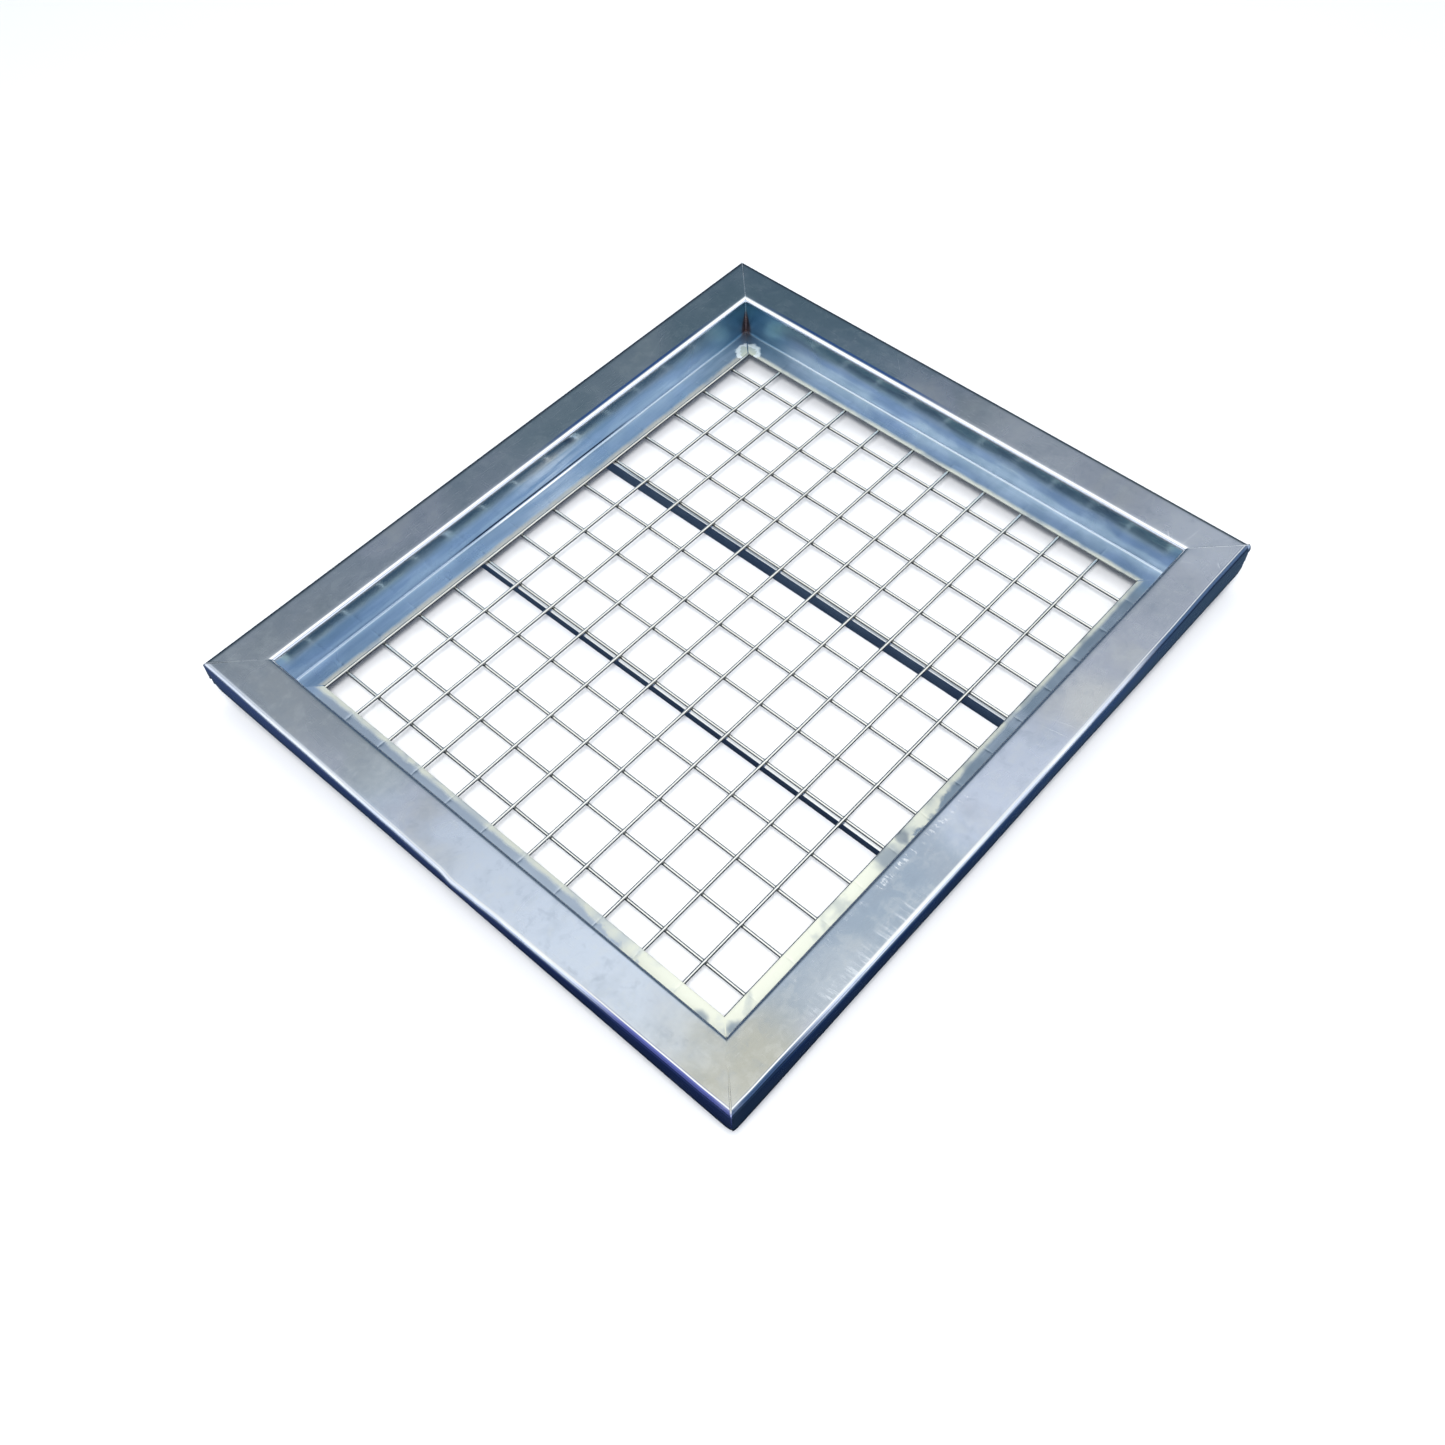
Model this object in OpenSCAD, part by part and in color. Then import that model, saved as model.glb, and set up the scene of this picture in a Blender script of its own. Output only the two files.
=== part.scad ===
// Recessed sheet-metal frame with a welded wire grid and two cross bars.
//
// Four folded rails are mitred and seam-welded at the corners. Each rail is one bent strip:
// a turned-down outer lip, a flat flange, the tray wall and an inner ledge. The wire grid is
// welded under the ledge, and two flat bars stand on edge under the long wires.
//
// Origin: centre of the base, on the surface that the bars stand on.
// +X runs along the long side, +Z is up. All sizes are in millimetres.

/* [Frame] */
// Outside length of the frame, along X
frame_l = 618; // [420:1:760]
// Outside width of the frame, along Y
frame_w = 535; // [360:1:640]
// Width of the flat flange, from the outer face to the tray wall
flange_w = 38; // [25:0.5:50]
// Depth of the tray, from the flange top to the ledge top
tray_depth = 37; // [34:0.5:60]
// Width of the inner ledge
ledge_w = 20.5; // [14:0.5:30]
// Height of the turned-down outer lip
lip_h = 32; // [15:0.5:34]
// Radius of the lip's lower corners
lip_corner_r = 8; // [3:0.5:10]

/* [Sheet] */
// Thickness of the folded sheet
sheet_t = 1.5; // [1:0.1:2]
// Inside radius of each bend
bend_r = 2.1; // [1:0.1:3]
// Width of the weld that fills each mitre
seam_w = 1; // [0.6:0.1:2]
// Radius of the drain hole in each tray corner
drain_r = 1.2; // [0.8:0.1:2]

/* [Wire grid] */
// Distance from wire to wire
pitch = 38; // [34:1:60]
// Diameter of the wire
wire_d = 2.7; // [1.5:0.1:3]
// How far crossing wires are pressed into each other
wire_sink = 0.1; // [0:0.02:0.2]
// Distance from a wire's end to the tray wall
wire_margin = 3; // [2:0.5:5]

/* [Cross bars] */
// Height of each bar's flat strip
bar_h = 12; // [8:0.5:20]
// Thickness of each bar's flat strip
bar_t = 3; // [2:0.1:4]
// Cross wire beside each bar, counted out from the middle one
bar_wire = 2; // [1:1:2]
// Gap between a bar's top and the cross wire beside it
bar_gap = 0.4; // [0.3:0.1:2]
// Lean of the left bar, positive with its foot towards -X
left_lean = -8; // [-8:0.1:8]
// Lean of the right bar, positive with its foot towards -X
right_lean = 3.4; // [-8:0.1:8]

/* [Hidden] */
$fn = 48;
bend_out = bend_r + sheet_t;
section_w = flange_w + ledge_w;
tray_l = frame_l - 2 * flange_w;
tray_w = frame_w - 2 * flange_w;
seam_trim = seam_w / sqrt(2);

// From the tray wall to the edge of a drain hole
drain_gap = 0.4;
// How far a cutting shape reaches past what it cuts
over = 1;
// Length of each bar's end weld, how far it stands out beside the bar and down the bar's side
end_weld_l = 10;
end_weld_out = 1;
end_weld_down = 2;

// Height that a leaning bar takes up
function bar_rise(lean) = bar_h * cos(lean) + bar_t * abs(sin(lean));

// Heights, from the surface that the bars stand on
bar_clearance = 0.02;
grid_bottom = max(bar_rise(left_lean), bar_rise(right_lean)) + bar_clearance;
grid_top = grid_bottom + wire_d;
ledge_top = grid_top + sheet_t;
flange_top = ledge_top + tray_depth;
lip_bottom = flange_top - lip_h;
long_wire_z = grid_top - wire_d / 2;
cross_wire_z = long_wire_z - wire_d + wire_sink;

// The grid is centred, with a cross wire on the middle line and no long wire on it
cross_half = floor((tray_l / 2 - wire_margin) / pitch);
long_half = floor((tray_w / 2 - wire_margin) / pitch + 0.5);
cross_count = 2 * cross_half + 1;
long_count = 2 * long_half;
cross_wire_l = tray_w - 2 * wire_margin;
long_wire_l = tray_l - 2 * wire_margin;
bar_offset = wire_d / 2 + bar_gap + bar_t / 2;

// The four sides, each turned from the front one: [name, turn, length, distance from the centre]
SIDES = [
    ["front", 0, frame_l, frame_w / 2],
    ["right", 90, frame_w, frame_l / 2],
    ["back", 180, frame_l, frame_w / 2],
    ["left", 270, frame_w, frame_l / 2],
];

function two_digits(n) = str(n < 10 ? "0" : "", n);
function rail_name(i) = str(SIDES[i][0], "_rail");
function seam_name(i) = str("corner_weld_", SIDES[i][0], "_", SIDES[(i + 1) % 4][0]);
function long_wire_name(i) = str("long_wire_", two_digits(i));
function cross_wire_name(i) = str("cross_wire_", two_digits(i));

// ---- Folded rails ----

// A quarter ring of sheet; turn 0 joins a sheet on the left to a sheet above
module bend_section(turn) {
    rotate(turn) difference() {
        intersection() {
            circle(r = bend_out);
            translate([-bend_out, 0]) square(bend_out);
        }
        circle(r = bend_r);
    }
}

// Cross-section of a rail: x runs inwards from the outer face, y is the height
module rail_section() {
    bend_z = flange_top - bend_out;
    translate([0, lip_bottom]) square([sheet_t, bend_z - lip_bottom]);
    translate([bend_out, bend_z]) bend_section(0);
    translate([bend_out, flange_top - sheet_t]) square([flange_w - 2 * bend_out, sheet_t]);
    translate([flange_w - bend_out, bend_z]) bend_section(-90);
    translate([flange_w - sheet_t, ledge_top + bend_r]) square([sheet_t, bend_z - ledge_top - bend_r]);
    translate([flange_w + bend_r, ledge_top + bend_r]) bend_section(90);
    translate([flange_w + bend_r, ledge_top - sheet_t]) square([ledge_w - bend_r, sheet_t]);
}

// The section swept along X, with its outer face at y = -reach
module swept_section(run, reach) {
    translate([0, -reach, 0])
        rotate([90, 0, 90])
            linear_extrude(run, center = true) rail_section();
}

// A prism over the plan of one rail, trimmed back from both mitres
module mitre_prism(run, reach, trim) {
    outer = run / 2 - trim;
    linear_extrude(flange_top + over)
        polygon([
            [-outer, -reach],
            [outer, -reach],
            [outer - section_w, section_w - reach],
            [section_w - outer, section_w - reach],
        ]);
}

// What rounds off the two lower corners of the lip
module lip_corner_cuts(run, reach) {
    for (side = [-1, 1])
        translate([side * (run / 2 - lip_corner_r), sheet_t + over - reach, lip_bottom + lip_corner_r])
            rotate([90, 0, 0])
                linear_extrude(sheet_t + 2 * over)
                    difference() {
                        translate([side > 0 ? 0 : -lip_corner_r - over, -lip_corner_r - over])
                            square(lip_corner_r + over);
                        circle(r = lip_corner_r);
                    }
}

// Drain holes at both ends of a side, one in each tray corner
module drain_holes(run, reach) {
    inset = flange_w + drain_gap + drain_r;
    for (side = [-1, 1])
        translate([side * (run / 2 - inset), inset - reach, ledge_top - sheet_t - over])
            cylinder(r = drain_r, h = sheet_t + bend_r + 2 * over);
}

module rail(i) {
    run = SIDES[i][2];
    reach = SIDES[i][3];
    color([0.62, 0.68, 0.76])
        rotate([0, 0, SIDES[i][1]])
            difference() {
                intersection() {
                    swept_section(run, reach);
                    mitre_prism(run, reach, seam_trim);
                }
                lip_corner_cuts(run, reach);
                drain_holes(run, reach);
            }
}

// ---- Corner welds ----

// Half of the weld in one mitre: the section between the rail's trimmed end and the mitre
module seam_half(i, side) {
    run = SIDES[i][2];
    reach = SIDES[i][3];
    rotate([0, 0, SIDES[i][1]])
        difference() {
            intersection() {
                swept_section(run, reach);
                linear_extrude(flange_top + over)
                    polygon([
                        [side * (run / 2 - seam_trim), -reach],
                        [side * run / 2, -reach],
                        [side * (run / 2 - section_w), section_w - reach],
                        [side * (run / 2 - seam_trim - section_w), section_w - reach],
                    ]);
            }
            // The rounded lower corners of the lips stay apart
            translate([side * run / 2 - section_w / 2, -reach - over, 0])
                cube([section_w, sheet_t + 2 * over, lip_bottom + lip_corner_r]);
            drain_holes(run, reach);
        }
}

// The weld between a side and the next one round
module corner_weld(i) {
    color([0.66, 0.69, 0.70]) {
        seam_half(i, 1);
        seam_half((i + 1) % 4, -1);
    }
}

// ---- Wire grid ----

// Long wires are numbered from the front, and lie on top
module long_wire(i) {
    color([0.80, 0.80, 0.74])
        translate([0, (i - (long_count + 1) / 2) * pitch, long_wire_z])
            rotate([0, 90, 0])
                cylinder(d = wire_d, h = long_wire_l, center = true);
}

// Cross wires are numbered from the left, and lie under the long ones
module cross_wire(i) {
    color([0.72, 0.72, 0.68])
        translate([(i - 1 - cross_half) * pitch, 0, cross_wire_z])
            rotate([90, 0, 0])
                cylinder(d = wire_d, h = cross_wire_l, center = true);
}

// ---- Cross bars ----

// A bar stands just outside its cross wire, on the -X side, with its lower edge on the surface
module bar_strip(side, lean) {
    translate([side * bar_wire * pitch - bar_offset, 0, bar_rise(lean) - bar_t / 2 * abs(sin(lean))])
        rotate([0, lean, 0])
            translate([-bar_t / 2, -cross_wire_l / 2, -bar_h])
                cube([bar_t, cross_wire_l, bar_h]);
}

module left_bar() {
    color([0.15, 0.20, 0.30]) bar_strip(-1, left_lean);
}

module right_bar() {
    color([0.24, 0.31, 0.37]) bar_strip(1, right_lean);
}

// The welds that tie the ends of the bars to the underside of the ledge
module bar_end_welds() {
    color([0.45, 0.45, 0.46])
        for (bar = [[-1, left_lean], [1, right_lean]], end = [-1, 1])
            difference() {
                translate([
                    bar[0] * bar_wire * pitch - bar_offset - bar_t / 2 - end_weld_out,
                    end * (cross_wire_l - end_weld_l) / 2 - end_weld_l / 2,
                    grid_bottom - end_weld_down,
                ])
                    cube([bar_t + end_weld_out, end_weld_l, grid_top - grid_bottom + end_weld_down]);
                bar_strip(bar[0], bar[1]);
            }
}

for (i = [0:3]) rail(i);
for (i = [0:3]) corner_weld(i);
for (i = [1:long_count]) long_wire(i);
for (i = [1:cross_count]) cross_wire(i);
left_bar();
right_bar();
bar_end_welds();
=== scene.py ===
"""Looks of the recessed screen frame: folded zinc-plated rails, ground corner welds, a welded
wire grid and two cross bars. Everything is in metres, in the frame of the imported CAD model."""

import math

import bmesh
import bpy
from mathutils import Matrix, Vector, noise


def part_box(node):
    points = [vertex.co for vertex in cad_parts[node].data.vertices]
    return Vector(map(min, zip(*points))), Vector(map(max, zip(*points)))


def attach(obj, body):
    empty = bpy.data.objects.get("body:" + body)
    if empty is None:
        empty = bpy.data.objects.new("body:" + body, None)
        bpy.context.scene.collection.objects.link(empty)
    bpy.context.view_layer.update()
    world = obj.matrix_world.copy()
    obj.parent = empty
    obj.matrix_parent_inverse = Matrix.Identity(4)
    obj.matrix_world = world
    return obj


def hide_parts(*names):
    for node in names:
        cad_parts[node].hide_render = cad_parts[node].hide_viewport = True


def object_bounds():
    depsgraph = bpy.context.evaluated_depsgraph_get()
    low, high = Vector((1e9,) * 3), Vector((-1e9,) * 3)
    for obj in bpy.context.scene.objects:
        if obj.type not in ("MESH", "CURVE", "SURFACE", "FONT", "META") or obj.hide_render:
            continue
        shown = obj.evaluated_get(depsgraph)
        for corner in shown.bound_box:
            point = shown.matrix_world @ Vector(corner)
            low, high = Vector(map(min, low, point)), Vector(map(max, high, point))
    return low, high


MM = 0.001
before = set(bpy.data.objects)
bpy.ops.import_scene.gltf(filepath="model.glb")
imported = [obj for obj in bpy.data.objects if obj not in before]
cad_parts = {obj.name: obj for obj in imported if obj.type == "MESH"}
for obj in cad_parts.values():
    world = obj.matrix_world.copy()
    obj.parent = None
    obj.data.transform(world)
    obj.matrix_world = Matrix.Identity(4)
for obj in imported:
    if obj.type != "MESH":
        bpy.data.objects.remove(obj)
CAD_LOW, CAD_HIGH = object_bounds()
BODY = "root"

# ---- sizes of the object

FRAME_L = CAD_HIGH.x - CAD_LOW.x
FRAME_W = CAD_HIGH.y - CAD_LOW.y
FLANGE_TOP = CAD_HIGH.z
RAIL_LOW, RAIL_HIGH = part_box("front_rail")
SECTION_W = RAIL_HIGH.y - RAIL_LOW.y
SHEET_T = 1.5 * MM
BEND_R = 2.1 * MM
BEND_OUT = BEND_R + SHEET_T
LEDGE_W = 20.5 * MM
FLANGE_W = SECTION_W - LEDGE_W
LEDGE_TOP = RAIL_LOW.z + SHEET_T
LIP_BOTTOM = FLANGE_TOP - 32 * MM
LIP_CORNER_R = 8 * MM
BEND_Z = FLANGE_TOP - BEND_OUT  # where the lip and the tray wall start to bend into the flange
WALL_FOOT = LEDGE_TOP + BEND_R
EDGE_ROUND = 0.3 * MM
SEAM_W = 1 * MM
SEAM_TRIM = SEAM_W / math.sqrt(2)
SEAM_COLUMNS = 7  # points across the weld
DRAIN_R = 1.2 * MM
DRAIN_INSET = FLANGE_W + DRAIN_R + 0.4 * MM

LONG_WIRES = sorted(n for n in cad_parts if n.startswith("long_wire"))
CROSS_WIRES = sorted(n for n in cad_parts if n.startswith("cross_wire"))


def middle(node):
    low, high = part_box(node)
    return (low + high) / 2


LONG_WIRE_Y = [middle(n).y for n in LONG_WIRES]
CROSS_WIRE_X = [middle(n).x for n in CROSS_WIRES]

# Each side: name, turn about Z in degrees from the front one, length, distance from the centre
SIDES = [
    ("front", 0, FRAME_L, FRAME_W / 2),
    ("right", 90, FRAME_W, FRAME_L / 2),
    ("back", 180, FRAME_L, FRAME_W / 2),
    ("left", 270, FRAME_W, FRAME_L / 2),
]
# The outer fold is not straight: how far it stands out, in mm, at fractions of the side's length
FOLD_LINE = {
    "front": [
        (-0.5, 0.2), (-0.46, 0.9), (-0.32, 1.8), (-0.1, 2.1), (0.1, 1.9), (0.3, 1.0), (0.42, 0.0),
        (0.5, 0.0),
    ],
    "right": [(-0.5, 0.0), (0.0, 0.4), (0.5, 0.4)],
    "back": [(-0.5, 0.4), (0.0, 0.8), (0.5, 0.3)],
    "left": [
        (-0.5, 0.6), (-0.3, 1.6), (-0.1, 2.6), (-0.002, 3.0), (0.028, 4.4), (0.060, 3.8), (0.12, 2.8),
        (0.3, 1.8), (0.44, 1.0), (0.5, 0.3),
    ],
}
# How far the lip's lower edge stands in from the fold's plumb line, in mm
LIP_TUCK = {"front": 0.3, "right": 0.0, "back": 0.0, "left": 1.2}
FOLD_REACH = 20 * MM  # how far over the flange the wandering of the fold is felt
# Under the ledge each wire is welded, which leaves a crease across it and a dimple
CREASE_DEPTH = 0.13 * MM
CREASE_W = 0.55 * MM
DIMPLE_DEPTH = 0.16 * MM
DIMPLE_R = 1.8 * MM
SPOT_REACH = 5 * MM
TINY = 1e-9


def smooth(low, high, value):
    t = min(max((value - low) / (high - low), 0.0), 1.0)
    return t * t * (3 - 2 * t)


def wave(x, y, z, scale):
    return noise.noise(Vector((x, y, z)) / scale)


# ---- mesh helpers


def add_to_scene(name, data):
    obj = bpy.data.objects.new(name, data)
    bpy.context.scene.collection.objects.link(obj)
    return obj


def make_mesh(name, bm, material):
    mesh = bpy.data.meshes.new(name)
    bm.to_mesh(mesh)
    bm.free()
    obj = add_to_scene(name, mesh)
    for polygon in mesh.polygons:
        polygon.use_smooth = True
    mesh.materials.append(material)
    return obj


def make_piece(name, bm, node, material):
    obj = make_mesh(name, bm, material)
    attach(obj, BODY)
    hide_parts(node)


def loft(bm, rings):
    """Quads between closed rings of equal length."""
    count = len(rings[0])
    verts = [[bm.verts.new(p) for p in ring] for ring in rings]
    for a, b in zip(verts, verts[1:]):
        for i in range(count):
            j = (i + 1) % count
            bm.faces.new((a[i], a[j], b[j], b[i]))
    return verts


def cap(bm, verts):
    """A flat face whose edges stay sharp, so that it does not bend the shading of its neighbours."""
    face = bm.faces.new(verts)
    for edge in face.edges:
        edge.smooth = False


def drawn_length(rings, layer_name, values):
    """A closed bar through rings of points, with one attribute value for each point of a ring."""
    bm = bmesh.new()
    layer = bm.verts.layers.float.new(layer_name)
    made = loft(bm, rings)
    for ring in made:
        for vert, value in zip(ring, values):
            vert[layer] = value
    cap(bm, made[0])
    cap(bm, made[-1][::-1])
    return bm


def side_matrix(index):
    return Matrix.Rotation(math.radians(SIDES[index][1]), 4, "Z")


# ---- section of a rail


def arc(cx, cz, radius, start, end, steps, outward):
    """Points of an arc with their normals; outward is -1 where the skin is on the hollow side."""
    points = []
    for i in range(1, steps):
        angle = math.radians(start + (end - start) * i / steps)
        c, s = math.cos(angle), math.sin(angle)
        points.append((cx + radius * c, cz + radius * s, outward * c, outward * s))
    return points


def straight(u0, z0, u1, z1, nu, nz, steps):
    return [
        (u0 + (u1 - u0) * i / steps, z0 + (z1 - z0) * i / steps, nu, nz)
        for i in range(steps + 1)
    ]


def section_skin():
    """The upper skin from the lip's lower edge to the ledge's edge: u runs inwards from the outer
    face, then come z, the normal's u and z, and the girth, the distance gone along the skin."""
    skin = straight(0, LIP_BOTTOM + EDGE_ROUND, 0, BEND_Z, -1, 0, 7)
    skin += arc(BEND_OUT, BEND_Z, BEND_OUT, 180, 90, 9, 1)
    skin += straight(BEND_OUT, FLANGE_TOP, FLANGE_W - BEND_OUT, FLANGE_TOP, 0, 1, 12)
    skin += arc(FLANGE_W - BEND_OUT, BEND_Z, BEND_OUT, 90, 0, 9, 1)
    skin += straight(FLANGE_W, BEND_Z, FLANGE_W, WALL_FOOT, 1, 0, 8)
    skin += arc(FLANGE_W + BEND_R, WALL_FOOT, BEND_R, 180, 270, 7, -1)
    skin += straight(FLANGE_W + BEND_R, LEDGE_TOP, SECTION_W - EDGE_ROUND, LEDGE_TOP, 0, 1, 16)
    rows = []
    girth = 0.0
    for i, (u, z, nu, nz) in enumerate(skin):
        if i:
            girth += math.hypot(u - skin[i - 1][0], z - skin[i - 1][1])
        rows.append((u, z, nu, nz, girth))
    return rows


SKIN = section_skin()
UNDER = 0.2  # added to the girth of the hidden skin, so that materials can tell them apart
# Girth where the straight stretches of the section start and end
LIP_END = BEND_Z - LIP_BOTTOM
FLANGE_START = LIP_END + math.pi / 2 * BEND_OUT
FLANGE_END = FLANGE_START + FLANGE_W - 2 * BEND_OUT
WALL_START = FLANGE_END + math.pi / 2 * BEND_OUT
WALL_END = WALL_START + BEND_Z - WALL_FOOT
LEDGE_START = WALL_END + math.pi / 2 * BEND_R
LEDGE_END = SKIN[-1][4]


def section_loop():
    """The whole outline as (u, z, girth), with slightly rounded sheared edges."""
    top = [(u, z, g) for u, z, nu, nz, g in SKIN]
    under = [(u - nu * SHEET_T, z - nz * SHEET_T, g + UNDER) for u, z, nu, nz, g in SKIN]
    soft = 0.09 * MM
    ledge_edge = [
        (SECTION_W - soft, LEDGE_TOP - soft, LEDGE_END),
        (SECTION_W, LEDGE_TOP - EDGE_ROUND, LEDGE_END + EDGE_ROUND),
        (SECTION_W, LEDGE_TOP - SHEET_T + EDGE_ROUND, LEDGE_END + SHEET_T),
        (SECTION_W - soft, LEDGE_TOP - SHEET_T + soft, LEDGE_END + UNDER),
    ]
    lip_edge = [
        (SHEET_T - soft, LIP_BOTTOM + soft, UNDER),
        (SHEET_T - EDGE_ROUND, LIP_BOTTOM, UNDER),
        (EDGE_ROUND, LIP_BOTTOM, 0.0),
        (soft, LIP_BOTTOM + soft, 0.0),
    ]
    return top + ledge_edge + under[::-1] + lip_edge


LOOP = section_loop()


# ---- shape of the folded sheet


def lip_floor(from_end):
    """Height of the lip's lower edge at a distance from the rail's end."""
    if from_end >= LIP_CORNER_R:
        return LIP_BOTTOM
    inside = LIP_CORNER_R - max(from_end, 0.0)
    return LIP_BOTTOM + LIP_CORNER_R - math.sqrt(LIP_CORNER_R**2 - inside**2)


def spot_centres(index):
    """Places along a side where a wire is welded under the ledge."""
    _, turn, run, _ = SIDES[index]
    places = CROSS_WIRE_X if turn in (0, 180) else LONG_WIRE_Y
    reach = run / 2 - SECTION_W - 4 * MM
    return [p for p in places if abs(p) < reach]


def fold_out(name, fraction):
    """How far the outer fold stands out at a place along a side, in metres."""
    line = FOLD_LINE[name]
    for (x0, v0), (x1, v1) in zip(line, line[1:]):
        if fraction <= x1:
            t = smooth(x0, x1, fraction)
            return (v0 + (v1 - v0) * t) * MM
    return line[-1][1] * MM


def spot_dip(index, x, u, spots):
    """How far the ledge sinks at a point, where wires are welded under it."""
    dip = 0.0
    for centre in spots:
        offset = x - centre - 0.3 * MM * wave(u * 3, centre, index, 0.01)
        if abs(offset) < SPOT_REACH:
            reach = smooth(SECTION_W - 15 * MM, SECTION_W - 11 * MM, u)
            dip += reach * CREASE_DEPTH * math.exp(-((offset / CREASE_W) ** 2))
            dimple_u = SECTION_W - 6 * MM - 2 * MM * wave(centre, index, 0, 0.013)
            away = math.hypot(offset, u - dimple_u)
            dip += DIMPLE_DEPTH * math.exp(-((away / DIMPLE_R) ** 2))
    return dip


def shaped(index, x, u, z, spots, run):
    """Moves a point of the true section by what folding, welding and handling did to it."""
    name = SIDES[index][0]
    inner = smooth(FLANGE_W + BEND_R, FLANGE_W + BEND_R + 3 * MM, u)
    # Outer fold: it wanders, and the lip below it is tucked in
    out = fold_out(name, x / run)
    if z < BEND_Z and u < SHEET_T + 0.01 * MM:
        drop = (BEND_Z - z) / (BEND_Z - LIP_BOTTOM)
        floor = lip_floor(run / 2 - abs(x))
        z = floor + (z - LIP_BOTTOM) * (BEND_Z - floor) / (BEND_Z - LIP_BOTTOM)
        u -= out * (1 - drop) - LIP_TUCK[name] * MM * drop
        u += drop * 0.35 * MM * wave(x, index, 0, 0.11)
    else:
        u -= out * smooth(FOLD_REACH, BEND_OUT, u)
    # Flange and ledge: shallow waves
    calm = smooth(0, 25 * MM, run / 2 - u - abs(x))
    flat = smooth(0, 9 * MM, u) * smooth(BEND_Z, FLANGE_TOP - 0.5 * MM, z)
    z += calm * flat * 0.10 * MM * wave(x, u * 1.5, index * 3.1, 0.07)
    z += calm * inner * 0.16 * MM * wave(x, u * 2, index * 7.7, 0.035)
    if inner > 0:
        z -= spot_dip(index, x, u, spots)
    return u, z


def stations(index, run):
    """Places along the square middle of a rail, close together at the spot welds, its half length,
    and the fractions of the fans that lead from it to the mitres."""
    core = run / 2 - SECTION_W - 8 * MM
    steps = 110
    places = {round(-core + 2 * core * i / steps, 5) for i in range(steps + 1)}
    for centre in spot_centres(index):
        if abs(centre) < core:
            for step in range(-6, 7):
                places.add(round(centre + step * 0.45 * MM, 5))
    fan_steps = 30
    fan = [1 - (1 - i / fan_steps) ** 1.7 for i in range(1, fan_steps + 1)]
    return sorted(places), core, fan


def rail_x(place, u, core, end):
    """X of a station for a point at distance u from the outer face; place is in metres inside the
    core, or (side, fraction) in the fan that turns from square to the mitre."""
    if isinstance(place, tuple):
        side, fraction = place
        return side * (core + (end - u - core) * fraction)
    return place


def chalkiness(name, x):
    """How chalky the ledge is: most at the front left corner, and less along the left rail."""
    if name == "front":
        return 1 - smooth(0.19, 0.34, x + FRAME_L / 2)
    if name == "left":
        return 0.07 + 0.93 * (1 - smooth(0.08, 0.20, FRAME_W / 2 - x))
    return 0.0


def make_rail(index, material):
    name, _, run, reach = SIDES[index]
    spots = spot_centres(index)
    inner, core, fan = stations(index, run)
    end = run / 2 - SEAM_TRIM
    places = [(-1, f) for f in reversed(fan)] + inner + [(1, f) for f in fan]
    turn = side_matrix(index)
    bm = bmesh.new()
    names = ("along", "girth", "mitre", "chalk")
    layers = {n: bm.verts.layers.float.new(n) for n in names}
    rings = []
    for place in places:
        ring = []
        for u, z, girth in LOOP:
            x = rail_x(place, u, core, end)
            su, sz = shaped(index, x, u, z, spots, run)
            vert = bm.verts.new(turn @ Vector((x, su - reach, sz)))
            vert[layers["along"]] = x + index
            vert[layers["girth"]] = girth
            vert[layers["mitre"]] = run / 2 - u - abs(x)
            vert[layers["chalk"]] = chalkiness(name, x)
            ring.append(vert)
        rings.append(ring)
    count = len(LOOP)
    for a, b in zip(rings, rings[1:]):
        for i in range(count):
            j = (i + 1) % count
            bm.faces.new((a[i], b[i], b[j], a[j]))
    cap_end(bm, rings[0], False)
    cap_end(bm, rings[-1], True)
    cut_drain_holes(bm, index, run, reach)
    make_piece(name + "_rail_sheet", bm, name + "_rail", material)


def cap_end(bm, ring, flip):
    """Closes a mitred end with quads between the two skins."""
    n = len(SKIN)
    top = ring[:n]
    ledge_edge = ring[n : n + 4]
    under = ring[n + 4 : 2 * n + 4][::-1]
    lip_edge = ring[2 * n + 4 :]
    faces = [(top[i], top[i + 1], under[i + 1], under[i]) for i in range(n - 1)]
    faces.append((top[-1], *ledge_edge, under[-1]))
    faces.append((under[0], *lip_edge, top[0]))
    for face in faces:
        cap(bm, face if not flip else face[::-1])


def cut_drain_holes(bm, index, run, reach):
    """Opens the drain hole's share at each end by taking out the vertices inside it."""
    for side in (-1, 1):
        centre = side_matrix(index) @ Vector((side * (run / 2 - DRAIN_INSET), DRAIN_INSET - reach, 0))
        low = [v for v in bm.verts if v.co.z < LEDGE_TOP + 1.5 * BEND_R]
        inside = [v for v in low if (v.co.xy - centre.xy).length < DRAIN_R]
        bmesh.ops.delete(bm, geom=inside, context="VERTS")


# ---- corner welds


def add_blob(bm, centre, size, lumpy=0.0, seed=(0, 0, 0), grain=1.0, detail=2):
    """An ellipsoid of weld metal, uneven by lumpy; returns its vertices."""
    made = bmesh.ops.create_icosphere(bm, subdivisions=detail, radius=1.0)["verts"]
    for vert in made:
        n = vert.co.copy()
        uneven = 1 + lumpy * wave(n.x + seed[0], n.y + seed[1], n.z + seed[2], grain)
        vert.co = centre + n * Vector(size) * uneven
    return made


def corner_frame(index):
    """The corner between a side and the next: its outer point and unit vectors inwards along each."""
    _, _, run, reach = SIDES[index]
    turn = side_matrix(index)
    corner = turn @ Vector((run / 2, -reach, 0))
    along = (turn @ Vector((-1, 0, 0))).normalized()
    across = (turn @ Vector((0, 1, 0))).normalized()
    return corner, along, across


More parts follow.
